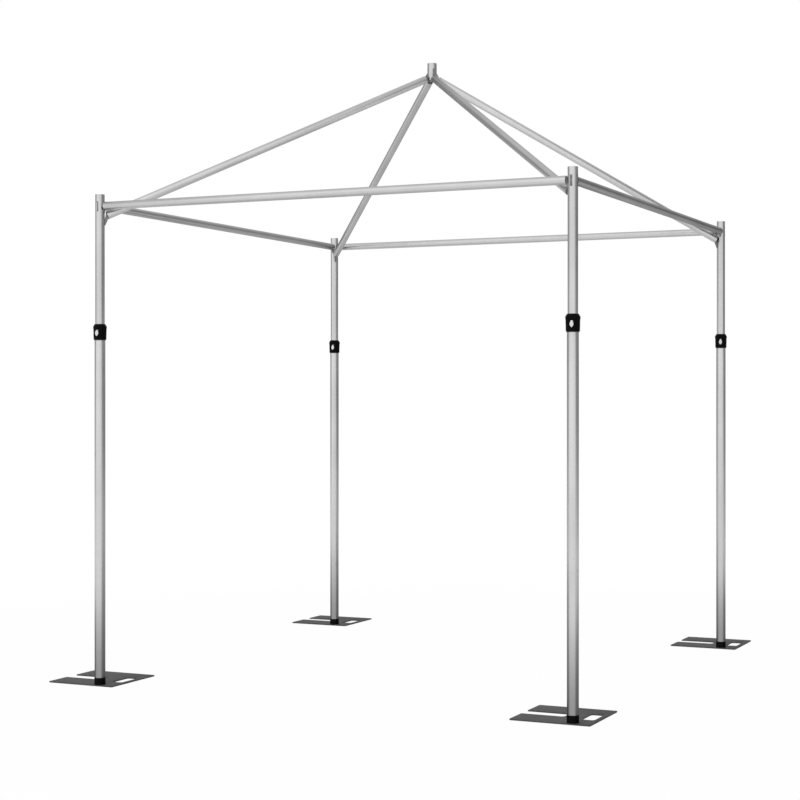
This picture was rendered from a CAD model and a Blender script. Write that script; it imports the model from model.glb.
# %% [markdown]
# The object is a free-standing drape frame: four telescoping uprights on flat steel plates, four
# crossbars and four rafters that meet in a short hub. Its solids come in as a fixed frame, in
# metres. This notebook adds the camera, the light and the finishes, and puts a finer piece in the
# place of each solid.

# %% Load the frame
import math

import bmesh
import bpy
from mathutils import Matrix, Vector


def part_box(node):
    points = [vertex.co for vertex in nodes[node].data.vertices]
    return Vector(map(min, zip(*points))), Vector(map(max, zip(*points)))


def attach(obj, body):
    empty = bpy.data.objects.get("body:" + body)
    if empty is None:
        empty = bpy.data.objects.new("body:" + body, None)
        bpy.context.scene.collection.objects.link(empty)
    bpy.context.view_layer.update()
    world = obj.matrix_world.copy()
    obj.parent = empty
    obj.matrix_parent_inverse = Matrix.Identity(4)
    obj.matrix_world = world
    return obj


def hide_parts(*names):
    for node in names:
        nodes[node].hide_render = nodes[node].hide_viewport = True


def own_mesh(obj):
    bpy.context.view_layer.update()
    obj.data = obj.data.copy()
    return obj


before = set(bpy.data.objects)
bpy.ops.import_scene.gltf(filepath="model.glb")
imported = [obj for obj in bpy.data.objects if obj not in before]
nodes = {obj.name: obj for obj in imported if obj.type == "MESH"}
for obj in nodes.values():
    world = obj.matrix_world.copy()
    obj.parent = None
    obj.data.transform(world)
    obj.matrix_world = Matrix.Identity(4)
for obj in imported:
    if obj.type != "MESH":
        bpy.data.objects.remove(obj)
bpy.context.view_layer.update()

# %% [markdown]
# The uprights give every other place. Each lower tube is round, so the middle of its box is the
# axis of its upright. The axes of the rafters run from a height below the tops of the uprights to
# one above the hub's lower end. Reading the places from the frame keeps the scene true when a size
# changes.

# %% Find the uprights
posts = ["front_left", "front_right", "back_left", "back_right"]
bars = ["front", "right", "back", "left"]
eaves_drop, peak_rise = 0.115, 0.020


def middle(node):
    low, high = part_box(node)
    return (low + high) / 2


axis_of = {p: middle(f"outer_tube_{p}") for p in posts}
centre = sum(axis_of.values(), Vector()) / 4
eaves_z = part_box("inner_tube_front_left")[1].z - eaves_drop
peak_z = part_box("hub")[0].z + peak_rise
for p in posts:
    print(p, "stands at", [round(v, 4) for v in axis_of[p].xy])
print("the rafters' axes rise from", round(eaves_z, 3), "to", round(peak_z, 3), "m")

# %% [markdown]
# The photograph was taken from the front and the right, from about breast height, with a long lens.
# Its verticals stay parallel, so the camera is level, and two small shifts put the frame where the
# photograph has it. A camera can be placed by eye, but that misses by many pixels. Here its place,
# its turn and its lens come from a fit to the edges of the uprights, the plates and the hub.

# %% Camera
camera_right, camera_forward, eye_height = 3.6353, 7.9640, 1.3637
camera_turn = 23.908
lens = bpy.data.cameras.new("camera")
lens.lens = 76.54
lens.sensor_width = 36
lens.shift_x = -0.0634
lens.shift_y = 0.0008
lens.clip_end = 400
camera = bpy.data.objects.new("camera", lens)
bpy.context.scene.collection.objects.link(camera)
camera.location = (centre.x + camera_right, centre.y - camera_forward, eye_height)
camera.rotation_euler = (math.radians(90), 0, math.radians(camera_turn))
bpy.context.scene.camera = camera
bpy.context.scene.view_settings.view_transform = "Standard"
print("camera", round((camera.location.xy - centre.xy).length, 2), "m from the frame's middle")

# %% [markdown]
# The light and the finishes below are small networks of nodes. They could be wired by hand in the
# shader editor, but written out they can be read and changed in one place. One function adds any
# node from its type, its settings and what its sockets take: a value, or a link from another node.

# %% Add a node and feed its sockets


def feed(node, **inputs):
    """Sets or links inputs of a node, each by its name, or by its number as i0, i1 and so on."""
    for key, value in inputs.items():
        by_number = key[0] == "i" and key[1:].isdigit()
        target = node.inputs[int(key[1:]) if by_number else key.replace("_", " ")]
        if isinstance(value, Sock):
            value.tree.links.new(value.socket, target)
        else:
            target.default_value = value


def add_node(tree, kind, settings=None, out=0, **inputs):
    """Adds any node. Its settings are set first. Gives one of its outputs."""
    made = tree.nodes.new(kind)
    for key, value in (settings or {}).items():
        setattr(made, key, value)
    feed(made, **inputs)
    return Sock(tree, made.outputs[out]) if len(made.outputs) else None


print("nodes can be added and fed")

# %% [markdown]
# Maths on sockets is easiest to read as Python. A small class holds a socket of a node tree, and
# its operators add Math nodes, so that a * b + c on sockets builds two nodes. Their reflected forms
# let a plain number stand first, as in 1 - mask. The other methods add the few nodes that most
# finishes use.

# %% Write shader maths in Python


class Sock:
    """A socket of a node tree that Python's operators work on."""

    def __init__(self, tree, socket):
        self.tree = tree
        self.socket = socket

    def node(self, kind, settings=None, out=0, **inputs):
        return add_node(self.tree, kind, settings, out, **inputs)

    def math(self, operation, *values):
        numbered = {f"i{k}": value for k, value in enumerate(values)}
        return self.node("ShaderNodeMath", {"operation": operation}, **numbered)

    def vector(self, operation, out=0, **inputs):
        return self.node("ShaderNodeVectorMath", {"operation": operation}, out, **inputs)

    def __add__(self, other):
        return self.math("ADD", self, other)

    def __radd__(self, other):
        return self.math("ADD", other, self)

    def __sub__(self, other):
        return self.math("SUBTRACT", self, other)

    def __rsub__(self, other):
        return self.math("SUBTRACT", other, self)

    def __mul__(self, other):
        return self.math("MULTIPLY", self, other)

    def __rmul__(self, other):
        return self.math("MULTIPLY", other, self)

    def most(self, other):
        """The larger of two values."""
        return self.math("MAXIMUM", self, other)

    def step(self, low, high, to_low=0.0, to_high=1.0):
        """Goes smoothly from one value to another as the socket goes from low to high."""
        return self.node("ShaderNodeMapRange", {"interpolation_type": "SMOOTHSTEP"}, Value=self,
                         From_Min=low, From_Max=high, To_Min=to_low, To_Max=to_high)

    def noise(self, scale, detail=3.0, roughness=0.55):
        return self.node("ShaderNodeTexNoise", Vector=self, Scale=scale, Detail=detail,
                         Roughness=roughness)

    def dot(self, direction):
        return self.vector("DOT_PRODUCT", 1, i0=self, i1=direction)

    def mix(self, colour_a, colour_b):
        """Mixes two colours by this socket."""
        return self.node("ShaderNodeMix", {"data_type": "RGBA"}, out=2, i0=self,
                         i6=colour_a, i7=colour_b)

    def mix_shaders(self, shader_a, shader_b):
        """Mixes two shaders by this socket."""
        return self.node("ShaderNodeMixShader", i0=self, i1=shader_a, i2=shader_b)


print("a socket can:", ", ".join(name for name in vars(Sock) if name[0] != "_"))

# %% [markdown]
# Every finish starts from the Principled shader, which covers metal, plastic and paint alike. Its
# patterns lie in Object coordinates. They are metres here, so a grain has the same size on every
# piece, and nothing has to be unwrapped.

# %% Start a material


def grey(value):
    return (value, value, value, 1)


def start_material(name):
    """A material, its Principled shader, and its Object coordinates."""
    made = bpy.data.materials.new(name)
    made.use_nodes = True
    tree = made.node_tree
    place = add_node(tree, "ShaderNodeTexCoord", out="Object")
    return made, tree.nodes["Principled BSDF"], place


print("white is", grey(1))

# %% [markdown]
# In the photograph the uprights are bright over a broad band that faces the front and the left, and
# darker on the right, as beside one very large soft light. The floor and the world both show that
# light to metal, so its direction and its soft edge are worked out first. Light Path tells apart
# what the camera sees and what a glossy surface mirrors.

# %% Direction of the light
front_turn, light_turn = math.radians(24.09), math.radians(18)
front = Vector((math.sin(front_turn), -math.cos(front_turn), 0))
left = Vector((-math.cos(front_turn), -math.sin(front_turn), 0))
soft = (front * math.cos(light_turn) + left * math.sin(light_turn)).normalized()
light_ramp = (0.20, 0.50)
up, rearward = (0, 0, 1), (0, 1, 0)


def ray_kinds(tree):
    """Two sockets that are 1 for rays of the camera, and for rays that a glossy surface mirrors."""
    return [add_node(tree, "ShaderNodeLightPath", out=kind)
            for kind in ("Is Camera Ray", "Is Glossy Ray")]


print("the soft light lies towards", [round(v, 2) for v in soft])

# %% [markdown]
# The photograph has a pure white ground. Without a floor the plates would float, and a lit floor
# alone would turn out grey. So the world and the floor show white to the camera alone, and the
# floor mixes a little of its real, lit surface in near the frame, which keeps a soft shadow under
# the plates. Metal sees a floor that is white towards the soft light, pale from a few steps away
# and straight below, and dim elsewhere. So the bright band of each tube runs down to its foot.

# %% Floor
floor_width, floor_drop = 160, 0.0006
shadow_ramp = (2.4, 4.5, 0.97, 1.0)
far_ramp, rear_ramp = (2.6, 4.0, 0.0, 0.9), (2.0, 6.0, 1.0, 0.35)
steep_ramp = (0.55, 0.85, 0.0, 0.6)
dim, brightest, metal_share = 0.33, 1.10, 0.9

bpy.ops.object.select_all(action="DESELECT")
bpy.ops.mesh.primitive_plane_add(size=floor_width, location=(centre.x, centre.y, -floor_drop))
floor = bpy.context.object
floor.name = "floor"
paint, shader, place = start_material("white_floor")
tree = paint.node_tree
seen, mirrored = ray_kinds(tree)
grain = place.noise(0.7, 2)
feed(shader, Base_Color=grain.step(0.3, 0.7).mix(grey(0.78), grey(0.82)), Roughness=0.9)
away = place.vector("LENGTH", 1, i0=place)
incoming = add_node(tree, "ShaderNodeNewGeometry", out="Incoming")
far = away.step(*far_ramp) * place.dot(rearward).step(*rear_ramp)
facing = incoming.dot(-soft).step(*light_ramp)
white = incoming.dot(up).step(*steep_ramp).most(far).most(facing)
dark_glow, bright_glow, plain_glow = [
    add_node(tree, "ShaderNodeEmission", Strength=level) for level in (dim, brightest, 1.0)]
glow = mirrored.mix_shaders(plain_glow, white.mix_shaders(dark_glow, bright_glow))
share = away.step(*shadow_ramp) * seen + mirrored * metal_share
surface = share.mix_shaders(Sock(tree, shader.outputs["BSDF"]), glow)
feed(tree.nodes["Material Output"], Surface=surface)
floor.data.materials.append(paint)
print("floor", floor.dimensions.x, "m wide")

# %% [markdown]
# Metal shows what stands round it. The world therefore shows mirror rays a studio that is bright
# towards the soft light and above, a little brighter on the left, and that has a backdrop behind
# which is dark near the floor. A picture of a studio could do this too, but ramps over directions
# can each be fitted to the photograph. All other rays get one plain level, so that matt surfaces
# render about as their colours are written.

# %% World
above_ramp, side_ramp = (0.42, 0.80), (-0.6, 0.7)
behind_ramp, backdrop_ramp = (0.55, 0.92), (0.08, 0.28)
room_level, light_level, top_share = 0.29, 0.80, 0.50
side_level, backdrop_level, behind_loss = 0.14, 0.36, 0.12
plain = 0.34

world = bpy.data.worlds.new("studio")
bpy.context.scene.world = world
world.use_nodes = True
tree = world.node_tree
tree.nodes.clear()
look = add_node(tree, "ShaderNodeTexCoord", out="Generated")
seen, mirrored = ray_kinds(tree)
above = look.dot(up).step(*above_ramp)
bright = look.dot(soft).step(*light_ramp).most(above * top_share)
side = look.dot(left).step(*side_ramp)
behind = look.dot(rearward).step(*behind_ramp)
backdrop = behind * look.dot(up).step(*backdrop_ramp)
lit = bright * light_level + side * side_level + backdrop * backdrop_level
studio = lit + room_level - behind * behind_loss
strength = seen + (1 - seen) * (mirrored * studio + (1 - mirrored) * plain)
shown = add_node(tree, "ShaderNodeBackground", Color=grey(1), Strength=strength)
add_node(tree, "ShaderNodeOutputWorld", Surface=shown)
print("the world lights matt surfaces at", plain)

# %% [markdown]
# Two large square lamps shape the matt parts, such as the plates and the collars: one high at the
# front left, one above the middle. Metal doesn't mirror them, because the world already shows it
# the studio.

# %% Lamps
aim_height = 1.2


def softbox(name, place_at, size, power):
    lamp = bpy.data.lights.new(name, "AREA")
    lamp.shape = "SQUARE"
    lamp.size = size
    lamp.energy = power
    made = bpy.data.objects.new(name, lamp)
    bpy.context.scene.collection.objects.link(made)
    made.visible_glossy = False
    made.location = place_at
    aim = Vector((centre.x, centre.y, aim_height)) - Vector(place_at)
    made.rotation_euler = aim.to_track_quat("-Z", "Y").to_euler()
    return made


key = softbox("key_softbox", (-2.6, -7.5, 6.5), 5, 380)
top = softbox("top_softbox", (0.3, 0.5, 8.5), 6, 260)
print("two softboxes,", key.data.energy + top.data.energy, "W in all")

# %% [markdown]
# Drawn aluminium tube has faint lines along its length, from the die, and a soft, satin gloss. A
# picture of scratches would have to be unwrapped round each tube. Noise that is stretched along the
# tube needs no unwrapping. The coordinate along the tube comes from a dot product with its
# direction, so that the same finish fits uprights, crossbars and sloping rafters. The lower tubes
# are a little grimy at the foot, and the tone of each tube was fitted to the photograph.

# %% Aluminium tube
stretch = 0.0006
line_noise, broad_noise, spot_noise = (300, 2, 0.5), (3.5, 3), (60, 4, 0.65)
line_ramp, broad_ramp = (0.35, 0.65, -0.025, 0.022), (0.3, 0.7, -0.03, 0.03)
spot_ramp, spot_loss = (0.62, 0.75), 0.06
grime_ramp, grime_loss = (0.02, 0.55, 1.0, 0.0), 0.55
cool = 1.012


def aluminium(name, direction, tone, foot=False):
    made, shader, place = start_material(name)
    unit = Vector(direction).normalized()
    flat = place.vector("SCALE", i0=tuple(unit), Scale=place.dot(unit))
    across = place.vector("SUBTRACT", i0=place, i1=flat)
    slow = place.vector("SCALE", i0=flat, Scale=stretch)
    lines = place.vector("ADD", i0=across, i1=slow).noise(*line_noise)
    broad = place.noise(*broad_noise)
    spots = place.noise(*spot_noise)
    mottle = lines.step(*line_ramp) + broad.step(*broad_ramp)
    value = mottle - spots.step(*spot_ramp) * spot_loss + tone
    if foot:
        grime = place.dot(up).step(*grime_ramp) * broad.step(0.2, 0.8, 0.85, 1.0)
        value = value * (1 - grime * grime_loss)
    colour = place.node("ShaderNodeCombineColor", i0=value, i1=value, i2=value * cool)
    relief = place.node("ShaderNodeBump", Strength=0.035, Distance=0.0004,
                        Height=lines * 0.7 + spots * 0.3)
    feed(shader, Metallic=1.0, Base_Color=colour, Normal=relief,
         Roughness=lines.step(0.3, 0.7, 0.30, 0.38) + spots.step(0.5, 0.8, 0.0, 0.08))
    return made


lower_finish = aluminium("lower_tube_aluminium", up, 0.60, foot=True)
upper_finish = aluminium("upper_tube_aluminium", up, 0.59)
hub_finish = aluminium("hub_aluminium_finish", up, 0.60)
bar_tone = {"front": 0.60, "right": 0.38, "back": 0.60, "left": 0.52}
bar_run = {"front": (1, 0, 0), "right": rearward, "back": (1, 0, 0), "left": rearward}
bar_finish = {b: aluminium(f"crossbar_{b}_aluminium", bar_run[b], bar_tone[b]) for b in bars}
rafter_tone = {"front_left": 0.62, "front_right": 0.56, "back_left": 0.55, "back_right": 0.70}
rafter_finish = {}
for p in posts:
    run = Vector((centre.x - axis_of[p].x, centre.y - axis_of[p].y, peak_z - eaves_z))
    rafter_finish[p] = aluminium(f"rafter_{p}_aluminium", run, rafter_tone[p])
    rise = round(math.degrees(math.atan2(run.z, run.xy.length)), 1)
    print("rafter", p, "rises at", rise, "degrees")

# %% [markdown]
# The plates are mild steel under a dark, matt powder coat, which has a fine grain and small scuffs
# where plates were stacked. Castings, plastics and bright steel are made in the same way: a colour,
# a roughness that varies, and a fine bump at the scale of the real surface. One function makes them
# all, because only its numbers differ.

# %% Other finishes
tone_spread = 0.12
relief_depth = 0.0003


def coated(name, tone, metallic=0.0, rough=(0.5, 0.6), grain=700, bump=0.15, scuff=0.0,
           scuff_tone=0.3, coarse=6, gloss=0.5):
    made, shader, place = start_material(name)
    fine = place.noise(grain, 3, 0.6)
    broad = place.noise(coarse, 4, 0.6)
    worn = (place.noise(coarse * 7, 5, 0.7) * 0.7 + broad * 0.3).step(0.56, 0.66) * scuff
    darker, lighter = grey(tone * (1 - tone_spread)), grey(tone * (1 + tone_spread))
    base = broad.step(0.25, 0.75).mix(darker, lighter)
    relief = place.node("ShaderNodeBump", Strength=bump, Distance=relief_depth, Height=fine)
    feed(shader, Metallic=metallic, Specular_IOR_Level=gloss, Normal=relief,
         Base_Color=worn.mix(base, grey(scuff_tone)),
         Roughness=fine.step(0.3, 0.7, *rough) - worn * 0.1)
    return made


finishes = {
    "base_plate": coated("powder_coated_steel", 0.066, rough=(0.5, 0.62), grain=900, bump=0.25,
                         scuff=0.35, scuff_tone=0.13, gloss=0.3),
    "base_pin": coated("zinc_plated_pin", 0.55, 1.0, (0.3, 0.42), scuff=0.4, scuff_tone=0.4),
    "pin_bolt": coated("zinc_plated_bolt", 0.45, 1.0, (0.32, 0.45), scuff=0.4, scuff_tone=0.3),
    "foot_cap": coated("black_cap_plastic", 0.0025, rough=(0.42, 0.55), grain=1200, bump=0.12,
                       scuff=0.3, scuff_tone=0.007, gloss=0.05),
    "slide_bush": coated("dark_bush_plastic", 0.03, rough=(0.35, 0.45), grain=800, bump=0.08),
    "guide_bush": coated("dark_guide_plastic", 0.03, rough=(0.35, 0.45), grain=800, bump=0.08),
    "lock_collar": coated("black_collar_plastic", 0.0025, rough=(0.36, 0.46), grain=1100,
                          bump=0.12, scuff=0.25, scuff_tone=0.007, gloss=0.05),
    "lock_spring": coated("spring_steel_wire", 0.4, 1.0, (0.25, 0.35)),
    "lock_plate": coated("bright_lock_steel", 0.62, 1.0, (0.24, 0.34), grain=500, bump=0.05,
                         scuff=0.3, scuff_tone=0.52, coarse=30),
    "hooks": coated("dark_plated_casting", 0.25, 0.85, (0.42, 0.55), grain=420, bump=0.35,
                    scuff=0.4, scuff_tone=0.3, coarse=20),
}
print(len(finishes), "finishes besides aluminium")

# %% [markdown]
# The solids of the frame have true sizes but dead sharp edges, and their round faces are coarse.
# Real edges are broken, turned or moulded, and they catch the light, so the pieces are modelled
# again at the same place. Each starts as a primitive and is shaped in edit mode. An operator works
# on all that is selected, so these helpers first make one piece the only selected one.

# %% Hold one piece at a time


def clear():
    if bpy.context.mode != "OBJECT":
        bpy.ops.object.mode_set(mode="OBJECT")
    bpy.ops.object.select_all(action="DESELECT")


def hold(piece):
    """Makes a piece the only selected one and the active one."""
    clear()
    piece.select_set(True)
    bpy.context.view_layer.objects.active = piece


def settle(piece):
    """Moves the object's place, turn and scale into its mesh."""
    hold(piece)
    bpy.ops.object.transform_apply(location=True, rotation=True, scale=True)


print("one piece is held at a time")

# %% [markdown]
# A sheet or a bar with rounded corners is a block whose upright edges are bevelled. The edges are
# picked by the direction that they run in, and by their place where only some are wanted.

# %% Blocks with rounded corners
same_run = 0.99


def pick_edges(piece, test):
    """Goes into edit mode and selects the edges whose two ends pass a test."""
    hold(piece)
    bpy.ops.object.mode_set(mode="EDIT")
    bpy.ops.mesh.select_mode(type="EDGE")
    bpy.ops.mesh.select_all(action="DESELECT")
    mesh = bmesh.from_edit_mesh(piece.data)
    for edge in mesh.edges:
        edge.select_set(test(edge.verts[0].co, edge.verts[1].co))
    bmesh.update_edit_mesh(piece.data)
    return sum(edge.select for edge in mesh.edges)


def block(name, low, high):
    """A cube stretched between two corners."""
    clear()
    low, high = Vector(low), Vector(high)
    bpy.ops.mesh.primitive_cube_add(size=1, location=(low + high) / 2, scale=high - low)
    made = bpy.context.object
    made.name = name
    settle(made)
    return made


def round_corners(piece, radius, direction, test=lambda point: True, segments=6):
    """Bevels the edges that run in one direction and whose middle passes a test."""
    run = Vector(direction)

    def wanted(a, b):
        return abs((b - a).normalized().dot(run)) > same_run and test((a + b) / 2)
    count = pick_edges(piece, wanted)
    bpy.ops.mesh.bevel(offset=radius, segments=segments, affect="EDGES")
    bpy.ops.object.mode_set(mode="OBJECT")
    return count


print("blocks are ready")

# %% [markdown]
# Holes and slots could be modelled into a mesh face by face, but a Boolean cut leaves the walls
# beside them as flat or as round as they were. The cutters are closed shapes, blocks and rods, and
# the exact solver is used, because it keeps the skin closed.

# %% Cut one shape out of another


def combine(piece, other, operation):
    hold(piece)
    change = piece.modifiers.new("combine", "BOOLEAN")
    change.operation = operation
    change.solver = "EXACT"
    change.object = other
    bpy.ops.object.modifier_apply(modifier=change.name)
    bpy.data.objects.remove(other, do_unlink=True)


def cut(piece, cutter):
    """Cuts one closed shape out of another, and removes the cutter."""
    combine(piece, cutter, "DIFFERENCE")


def rod(name, radius, low_z, high_z, sides=32, top_radius=None):
    """A solid cylinder on the Z axis, or a cone where its top has another radius."""
    clear()
    bpy.ops.mesh.primitive_cone_add(vertices=sides, radius1=radius, depth=high_z - low_z,
                                    radius2=radius if top_radius is None else top_radius,
                                    location=(0, 0, (low_z + high_z) / 2))
    made = bpy.context.object
    made.name = name
    settle(made)
    return made


print("blocks and rods can cut")

# %% [markdown]
# A cut leaves doubled points and split flat faces, which are joined again. A narrow bevel breaks
# every sharp edge, as a file or a tumbling drum does on the real part. Smooth shading by angle
# hides the facets of round faces and leaves the real edges crisp.

# %% Join, soften and shade
merge_gap, flat_angle = 0.000002, 0.6


def tidy(piece):
    """Joins flat neighbours and doubled points, and turns all faces outwards."""
    hold(piece)
    bpy.ops.object.mode_set(mode="EDIT")
    bpy.ops.mesh.select_all(action="SELECT")
    bpy.ops.mesh.remove_doubles(threshold=merge_gap)
    bpy.ops.mesh.dissolve_limited(angle_limit=math.radians(flat_angle))
    bpy.ops.mesh.normals_make_consistent(inside=False)
    bpy.ops.object.mode_set(mode="OBJECT")


def soften(piece, width, segments=2, angle=40):
    """Breaks every sharp edge with a small bevel."""
    hold(piece)
    change = piece.modifiers.new("soften", "BEVEL")
    change.width = width
    change.segments = segments
    change.limit_method = "ANGLE"
    change.angle_limit = math.radians(angle)
    bpy.ops.object.modifier_apply(modifier=change.name)


def shade(piece, angle=32):
    hold(piece)
    bpy.ops.object.shade_smooth_by_angle(angle=math.radians(angle))


print("faces within", flat_angle, "degrees of each other are joined")

# %% [markdown]
# A finished piece's object stays at the origin, so its place goes into its mesh. Places and turns
# are written as matrices, because any number of them multiply into one move.

# %% Places and turns


def at(point):
    return Matrix.Translation(point)


def turn_y(degrees):
    return Matrix.Rotation(math.radians(degrees), 4, "Y")


def turn_z(degrees):
    return Matrix.Rotation(math.radians(degrees), 4, "Z")


floor_of = {p: Vector((axis_of[p].x, axis_of[p].y, 0)) for p in posts}
turn_of = {"front_left": 0, "front_right": 90, "back_right": 180, "back_left": 270}
home = at(floor_of["front_left"])
hub_floor = Vector((centre.x, centre.y, 0))


def move(piece, matrix):
    """Moves the mesh of a piece, so that its object stays at the origin."""
    piece.data.transform(matrix)
    piece.data.update()
    return piece


print("the hub is", round((hub_floor - floor_of["front_left"]).length, 3), "m from each upright")

# %% [markdown]
# The four corners of the real frame are alike, so what repeats is modelled once, at the front left
# upright, and copied. Each copy has its own mesh, because the place of a piece is in its mesh.
# Last, a piece gets its finish, rides on the body that carries it, and takes the place of its
# solid.

# %% Copy and dress a piece


def twin(piece, name, matrix):
    """A copy of a piece with its own mesh, moved by a matrix."""
    made = piece.copy()
    made.data = piece.data.copy()
    made.name = name
    bpy.context.scene.collection.objects.link(made)
    return move(made, matrix)


def at_every_post(piece, prefix):
    """The piece at the front left upright, and its copies at the other three."""
    made = {"front_left": piece}
    for p in posts[1:]:
        made[p] = twin(piece, f"{prefix}_{p}", at(floor_of[p] - floor_of["front_left"]))
    return made


def turned_twin(piece, name, degrees):
    """A copy of a piece, turned about the hub's axis."""
    return twin(piece, name, at(hub_floor) @ turn_z(degrees) @ at(-hub_floor))


def stand_for(piece, node, body, finish):
    """Dresses a piece, lets it ride on a body, and hides the solid that it replaces."""
    piece.data.materials.clear()
    piece.data.materials.append(finish)
    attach(piece, body)
    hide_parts(node)


print("copies go to", ", ".join(posts[1:]))

# %% [markdown]
# The base plates are flame-cut steel, 6 mm thick, with a notch that lets them stack over each
# other's pins and a hole for the hand. A plate could be extruded from a drawn outline, but in a
# block each rounding is one bevel. Two more blocks with rounded corners, placed by their distances
# from the plate's edges, are cut out of it, its edges are broken, and the countersunk hole of the
# bolt comes last, so that it stays crisp. The other three plates are copies.

# %% Base plates
plate_corner, cutter_corner, plate_edge = 0.008, 0.014, 0.0007
notch_near, notch_far, notch_deep = 0.143, 0.223, 0.198
hand_near, hand_far, hand_inside, hand_rim = 0.113, 0.252, 0.080, 0.022
under, over, beside = -0.02, 0.03, 0.05
bolt_r, drill_sides = 0.00505, 48
sink_r, sink_end_r, sink_low, sink_high = 0.0102, 0.0049, -0.0002, 0.0052

low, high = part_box("base_plate_front_left")
plate = block("plate_front_left", low, high)
print(round_corners(plate, plate_corner, up), "corners rounded")
notch = block("notch_cutter", (low.x - beside, low.y + notch_near, under),
              (low.x + notch_deep, low.y + notch_far, over))
round_corners(notch, cutter_corner, up, lambda point: point.x > low.x)
cut(plate, notch)
hand = block("hand_cutter", (high.x - hand_inside, low.y + hand_near, under),
             (high.x - hand_rim, low.y + hand_far, over))
round_corners(hand, cutter_corner, up)
cut(plate, hand)
tidy(plate)
soften(plate, plate_edge)
cut(plate, move(rod("bolt_hole", bolt_r, under, over, drill_sides), home))
cut(plate, move(rod("countersink", sink_r, sink_low, sink_high, drill_sides, sink_end_r), home))
shade(plate)
for p, piece in at_every_post(plate, "plate").items():
    stand_for(piece, f"base_plate_{p}", f"base_{p}", finishes["base_plate"])
print("a plate has", len(plate.data.polygons), "faces")

# %% [markdown]
# Round pieces are turned, as on a lathe. Half of the section is written as a closed list of points,
# each with a radius and a height. A circle starts at the first point, and it is extruded and scaled
# from one point to the next until it meets itself, so that the skin is closed. A drawn curve with a
# Screw modifier could do the same, but a list of numbers is easier to check against the frame.

# %% Turn a profile
seam_gap = 0.000005


def turned(name, rings, sides=96):
    """Turns a closed profile on the Z axis, given as pairs of a radius and a height."""
    clear()
    first_r, first_z = rings[0]
    bpy.ops.mesh.primitive_circle_add(vertices=sides, radius=first_r, location=(0, 0, first_z))
    made = bpy.context.object
    made.name = name
    settle(made)
    bpy.ops.object.mode_set(mode="EDIT")
    bpy.ops.mesh.select_mode(type="VERT")
    bpy.ops.mesh.select_all(action="SELECT")
    for (r_now, z_now), (r_next, z_next) in zip(rings, rings[1:] + rings[:1]):
        grow = r_next / r_now
        bpy.ops.mesh.extrude_edges_move(TRANSFORM_OT_translate={"value": (0, 0, z_next - z_now)})
        bpy.ops.transform.resize(value=(grow, grow, 1), center_override=(0, 0, z_next))
    bpy.ops.mesh.select_all(action="SELECT")
    bpy.ops.mesh.remove_doubles(threshold=seam_gap)
    bpy.ops.mesh.normals_make_consistent(inside=False)
    bpy.ops.object.mode_set(mode="OBJECT")
    return made


def arc(r, z, size, start, stop, steps=4):
    """Points of a profile's rounding about (r, z), from one angle to another in degrees."""
    turns = [math.radians(start + (stop - start) * k / steps) for k in range(steps + 1)]
    return [(r + size * math.cos(a), z + size * math.sin(a)) for a in turns]


print("a quarter of a rounding takes", len(arc(0, 0, 1, 0, 90)), "points")

# %% [markdown]
# The foot caps are soft black plastic, pressed over the end of the lower tube. A bevelled cylinder
# would do for the outside alone. A turned profile gives both rounded rims, the seat of the tube and
# the bore that the base pin slips through in one go.

# %% Foot caps
cap_low, cap_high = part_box("foot_cap_front_left")
cap_r = (cap_high.x - cap_low.x) / 2
bore_r, tube_r, lip = 0.02325, 0.0254, 0.003
low_rim, high_rim = 0.0010, 0.0009
rings = [(bore_r, cap_low.z)]
rings += arc(cap_r - low_rim, cap_low.z + low_rim, low_rim, -90, 0)
rings += arc(cap_r - high_rim, cap_high.z - high_rim, high_rim, 0, 90)
rings += [(tube_r, cap_high.z), (tube_r, cap_low.z + lip), (bore_r, cap_low.z + lip)]
cap = move(turned("cap_front_left", rings), home)
shade(cap)
for p, piece in at_every_post(cap, "cap").items():
    stand_for(piece, f"foot_cap_{p}", f"leg_{p}", finishes["foot_cap"])
print("a cap is", round((cap_high.z - cap_low.z) * 1000, 1), "mm high")

# %% [markdown]
# The slip-lock collar is the most worked piece. Its sleeve grows a little on its way up, a fuller
# head covers the lock, and a long shoulder leads down to the upper tube. The profile runs up the
# outside, from the rounded lower rim over the gentle step of the head, and comes back down inside,
# where the bush, the spring and the lock plate have their room.

# %% Profile of the collar
col_low, col_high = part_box("lock_collar_front_left")
base_z, top_z = col_low.z, col_high.z
head_r = (col_high.x - col_low.x) / 2
hollow_r, exit_r, roof_z = 0.0280, 0.022925, base_z + 0.053
sleeve_top, sleeve_low = head_r - 0.0011, head_r - 0.0022
rim_inset, rim_bulge, rim_high = 0.0014, 0.0015, 0.006
step_z, step_high = base_z + 0.0510, 0.004
crown_z, crown_r = base_z + 0.0624, 0.0016
neck_inset, neck_rim = 0.0016, 0.0009
step_land, crown_land = 0.0005, 0.0002
crown_turn, neck_turn = 42, 40
fine_steps = 6

rings = [(hollow_r, base_z)]
for k in range(fine_steps + 1):
    a = math.radians(90 * k / fine_steps)
    rings.append((sleeve_low - rim_inset + rim_bulge * math.sin(a),
                  base_z + rim_high * (1 - math.cos(a))))
rings.append((sleeve_top, step_z - step_land))
for k in range(fine_steps + 1):
    swell = (1 - math.cos(math.pi * k / fine_steps)) / 2
    rings.append((sleeve_top + (head_r - sleeve_top) * swell, step_z + step_high * k / fine_steps))
rings.append((head_r, crown_z - crown_land))
rings += arc(head_r - crown_r, crown_z, crown_r, 0, crown_turn)
rings += arc(exit_r + neck_inset, top_z - neck_rim, neck_rim, neck_turn, 90)
rings += [(exit_r, top_z), (exit_r, roof_z), (hollow_r, roof_z)]
print("the collar's profile has", len(rings), "points")

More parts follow.
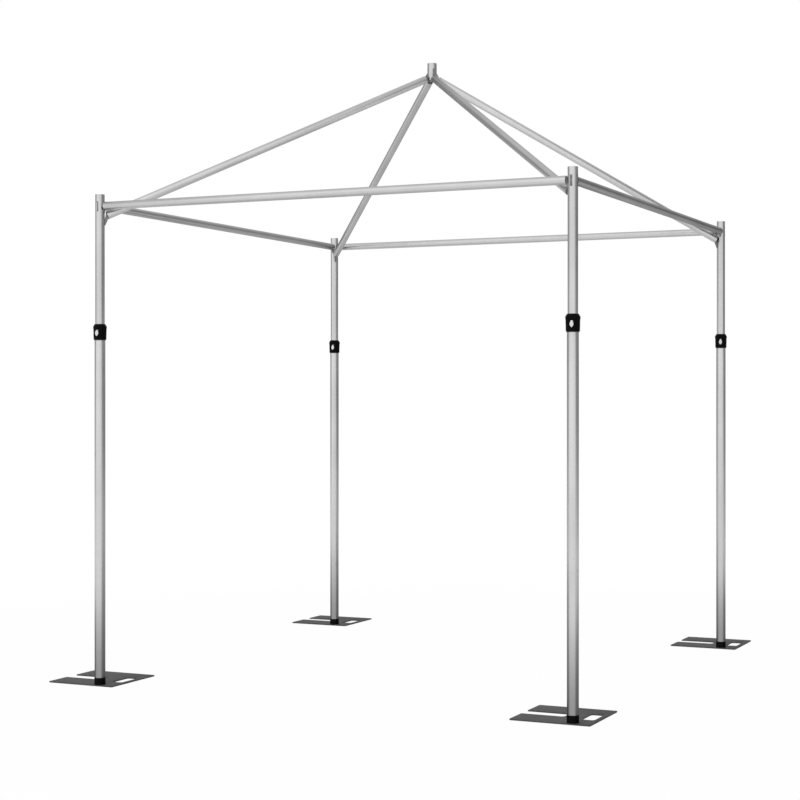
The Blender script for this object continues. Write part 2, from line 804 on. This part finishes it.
# %% [markdown]
# The window for the thumb tab is cut through the front of the sleeve with a block that has rounded
# corners. Pulling faces of the sleeve apart would dent the round wall, and a cut keeps it round.
# Inside, opposite the window, a small block stops the heel of the lock plate. It reaches a little
# into the wall, so that both join to one skin. Both are turned by the same angle, because the tabs
# of the real frame look a little to the side.

# %% Lock collars
lock_turn = 11
window_half, window_corner = 0.006, 0.0012
window_low, window_high = base_z + 0.0350, base_z + 0.0473
window_out, window_in = 0.036, 0.021
stop_half, stop_low, embed = 0.008, base_z + 0.0406, 0.0004

collar = turned("collar_front_left", rings)
window = block("window_cutter", (-window_half, -window_out, window_low),
               (window_half, -window_in, window_high))
round_corners(window, window_corner, rearward, segments=4)
cut(collar, move(window, turn_z(lock_turn)))
stop = block("heel_stop", (-stop_half, exit_r + embed, stop_low),
             (stop_half, hollow_r + embed, roof_z + embed))
combine(collar, move(stop, turn_z(lock_turn)), "UNION")
move(collar, home)
shade(collar)
for p, piece in at_every_post(collar, "collar").items():
    stand_for(piece, f"lock_collar_{p}", f"leg_{p}", finishes["lock_collar"])
print("a collar runs from", round(base_z, 4), "to", round(top_z, 4), "m")

# %% [markdown]
# Some pieces already have the right form in the frame and only lack the soft edges of a pressing or
# a casting: the lock plate with its bright thumb tab, and the hooks. A copy of the solid's mesh is
# merged, because it comes as loose triangles, its flat faces are joined, and its edges are broken.

# %% Lock plates and hooks
tab_edge, hook_edge = 0.0005, 0.0006


def merged_copy(node, name):
    made = nodes[node].copy()
    made.data = nodes[node].data.copy()
    made.name = name
    for key in list(made.keys()):
        del made[key]
    bpy.context.scene.collection.objects.link(made)
    made.parent = None
    tidy(made)
    return made


def softened_copy(node, name, width, segments=2):
    made = merged_copy(node, name)
    soften(made, width, segments)
    shade(made)
    return made


for p in posts:
    tab = softened_copy(f"lock_plate_{p}", f"tab_{p}", tab_edge, 3)
    stand_for(tab, f"lock_plate_{p}", f"lock_{p}", finishes["lock_plate"])
for b in bars:
    hooks = softened_copy(f"crossbar_hooks_{b}", f"hooks_{b}", hook_edge)
    stand_for(hooks, f"crossbar_hooks_{b}", f"crossbar_{b}", finishes["hooks"])
hooks = softened_copy("rafter_hooks", "hooks_rafters", hook_edge)
stand_for(hooks, "rafter_hooks", "top_frame", finishes["hooks"])
print("the rafters' hooks have", len(hooks.data.polygons), "faces")

# %% [markdown]
# The pieces inside, which only show through gaps, are plain merged copies: the pin that carries an
# upright, its bolt, and the two bushes that the upper tube slides in. The coil spring is one of
# them too. It is squashed towards the bush below it as the thumb tab goes down.

# %% Pieces inside
for p in posts:
    coil = merged_copy(f"lock_spring_{p}", f"coil_{p}")
    shade(coil, 70)
    stand_for(coil, f"lock_spring_{p}", f"leg_{p}", finishes["lock_spring"])
    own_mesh(coil)
    for part, body, slot in (("base_pin", f"base_{p}", "pin_steel"),
                             ("pin_bolt", f"base_{p}", "bolt_steel"),
                             ("slide_bush", f"leg_{p}", "bush_plastic"),
                             ("guide_bush", "top_frame", "bush_plastic")):
        inside = merged_copy(f"{part}_{p}", f"{part}_smooth_{p}")
        shade(inside)
        stand_for(inside, f"{part}_{p}", body, finishes[part])
print("a spring has", len(coil.data.polygons), "faces")

# %% [markdown]
# The uprights are drawn tubes with a deburred rim at each end. A cylinder with a Solidify modifier
# would be a tube too, but with sharp rims, so a tube is turned from the section of its wall. The
# upper tube also gets four hook slots, one for each side, and further down a fifth slot that looks
# to the middle and holds a rafter. Turning a copy by a quarter turns that slot.

# %% Tubes of the uprights
tube_wall = 0.0015
slot_wide, slot_high, slot_past = 0.0105, 0.048, 0.004
bar_slot_down, rafter_slot_down = 0.083, 0.141


def pipe(name, radius, wall, low_z, high_z, sides=96, rim=0.0003):
    """A tube on the Z axis with a small rounding round each rim."""
    inside, outside = radius - wall + rim, radius - rim
    bottom, top = low_z + rim, high_z - rim
    rings = arc(inside, bottom, rim, 180, 270, 2) + arc(outside, bottom, rim, 270, 360, 2)
    rings += arc(outside, top, rim, 0, 90, 2) + arc(inside, top, rim, 90, 180, 2)
    return turned(name, rings, sides)


def cut_slot(tube, radius, bottom, degrees):
    half = slot_wide / 2
    cutter = block("slot_cutter", (radius / 2, -half, bottom),
                   (radius + slot_past, half, bottom + slot_high))
    cut(tube, move(cutter, turn_z(degrees)))


low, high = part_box("outer_tube_front_left")
lower = move(pipe("lower_front_left", (high.x - low.x) / 2, tube_wall, low.z, high.z), home)
shade(lower)
low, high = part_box("inner_tube_front_left")
upper_r = (high.x - low.x) / 2
upper = pipe("upper_front_left", upper_r, tube_wall, low.z, high.z)
for side in range(4):
    cut_slot(upper, upper_r, high.z - bar_slot_down, 90 * side)
cut_slot(upper, upper_r, high.z - rafter_slot_down, 45)
shade(upper)
lowers, uppers = at_every_post(lower, "lower"), {"front_left": upper}
for p in posts[1:]:
    uppers[p] = twin(upper, f"upper_{p}", at(floor_of[p]) @ turn_z(turn_of[p]))
move(upper, home)
for p in posts:
    stand_for(lowers[p], f"outer_tube_{p}", f"leg_{p}", lower_finish)
    stand_for(uppers[p], f"inner_tube_{p}", "top_frame", upper_finish)
print("an upper tube has", len(upper.data.polygons), "faces")

# %% [markdown]
# Crossbars and rafters are the same tube in two lengths. Near each end a cross pin holds the plug
# of the hook, so each has two holes drilled right through. A bar is made upright on the origin,
# which is the easy place to drill it, and is then laid down by one matrix. The others are turned
# copies.

# %% Crossbars
bar_sides, pin_inset, pin_r, drill_half = 80, 0.020, 0.00245, 0.03


def drilled_pipe(name, radius, length):
    made = pipe(name, radius, tube_wall, 0, length, bar_sides)
    for height in (pin_inset, length - pin_inset):
        drill = rod("pin_drill", pin_r, -drill_half, drill_half)
        cut(made, move(drill, at((0, 0, height)) @ turn_y(90)))
    shade(made)
    return made


low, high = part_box("crossbar_front")
bar_r = (high.z - low.z) / 2
bar_start = (low.x, (low.y + high.y) / 2, (low.z + high.z) / 2)
bar = move(drilled_pipe("bar_front", bar_r, high.x - low.x), at(bar_start) @ turn_y(90))
for k, b in enumerate(bars):
    made = bar if k == 0 else turned_twin(bar, f"bar_{b}", 90 * k)
    stand_for(made, f"crossbar_{b}", f"crossbar_{b}", bar_finish[b])
print("a crossbar is", round(high.x - low.x, 4), "m long")

# %% [markdown]
# A rafter leans from its upright to the hub. It starts and ends a little clear of both tubes,
# where only its hooks reach in. Its slope could be typed in as an angle, but it is worked out from
# the two heights that were measured first, so that its ends meet the hooks.

# %% Rafters
rafter_gap = 0.012
hub_low, hub_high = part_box("hub")
hub_r = (hub_high.x - hub_low.x) / 2
run_flat = (hub_floor - floor_of["front_left"]).length
slope = math.atan2(peak_z - eaves_z, run_flat)
start, end = upper_r + rafter_gap, run_flat - hub_r - rafter_gap
rafter_long = (end - start) / math.cos(slope)
foot = at((start, 0, eaves_z + start * math.tan(slope)))
lean = home @ turn_z(45) @ foot @ Matrix.Rotation(math.radians(90) - slope, 4, "Y")
rafter = move(drilled_pipe("rafter_bar_front_left", bar_r, rafter_long), lean)
for p in posts:
    made = rafter if p == "front_left" else turned_twin(rafter, f"rafter_bar_{p}", turn_of[p])
    stand_for(made, f"rafter_{p}", "top_frame", rafter_finish[p])
print("a rafter is", round(rafter_long, 4), "m long")

# %% [markdown]
# The hub is a short, thicker tube with one slot for each rafter. It is turned and cut as the upper
# tubes are, with a wider rounding on its rims, which the photograph shows.

# %% Hub
hub_wall, hub_rim, hub_slot_up = 0.0025, 0.0005, 0.013
hub_piece = pipe("hub_tube", hub_r, hub_wall, hub_low.z, hub_high.z, rim=hub_rim)
for side in range(4):
    cut_slot(hub_piece, hub_r, hub_low.z + hub_slot_up, 45 + 90 * side)
move(hub_piece, at(hub_floor))
shade(hub_piece)
stand_for(hub_piece, "hub", "top_frame", hub_finish)
print("the hub stands from", round(hub_low.z, 3), "to", round(hub_high.z, 3), "m")

# %% [markdown]
# The pieces have to keep the size of the frame, so both boxes are written side by side.

# %% Write the sizes and finish
bpy.context.view_layer.update()
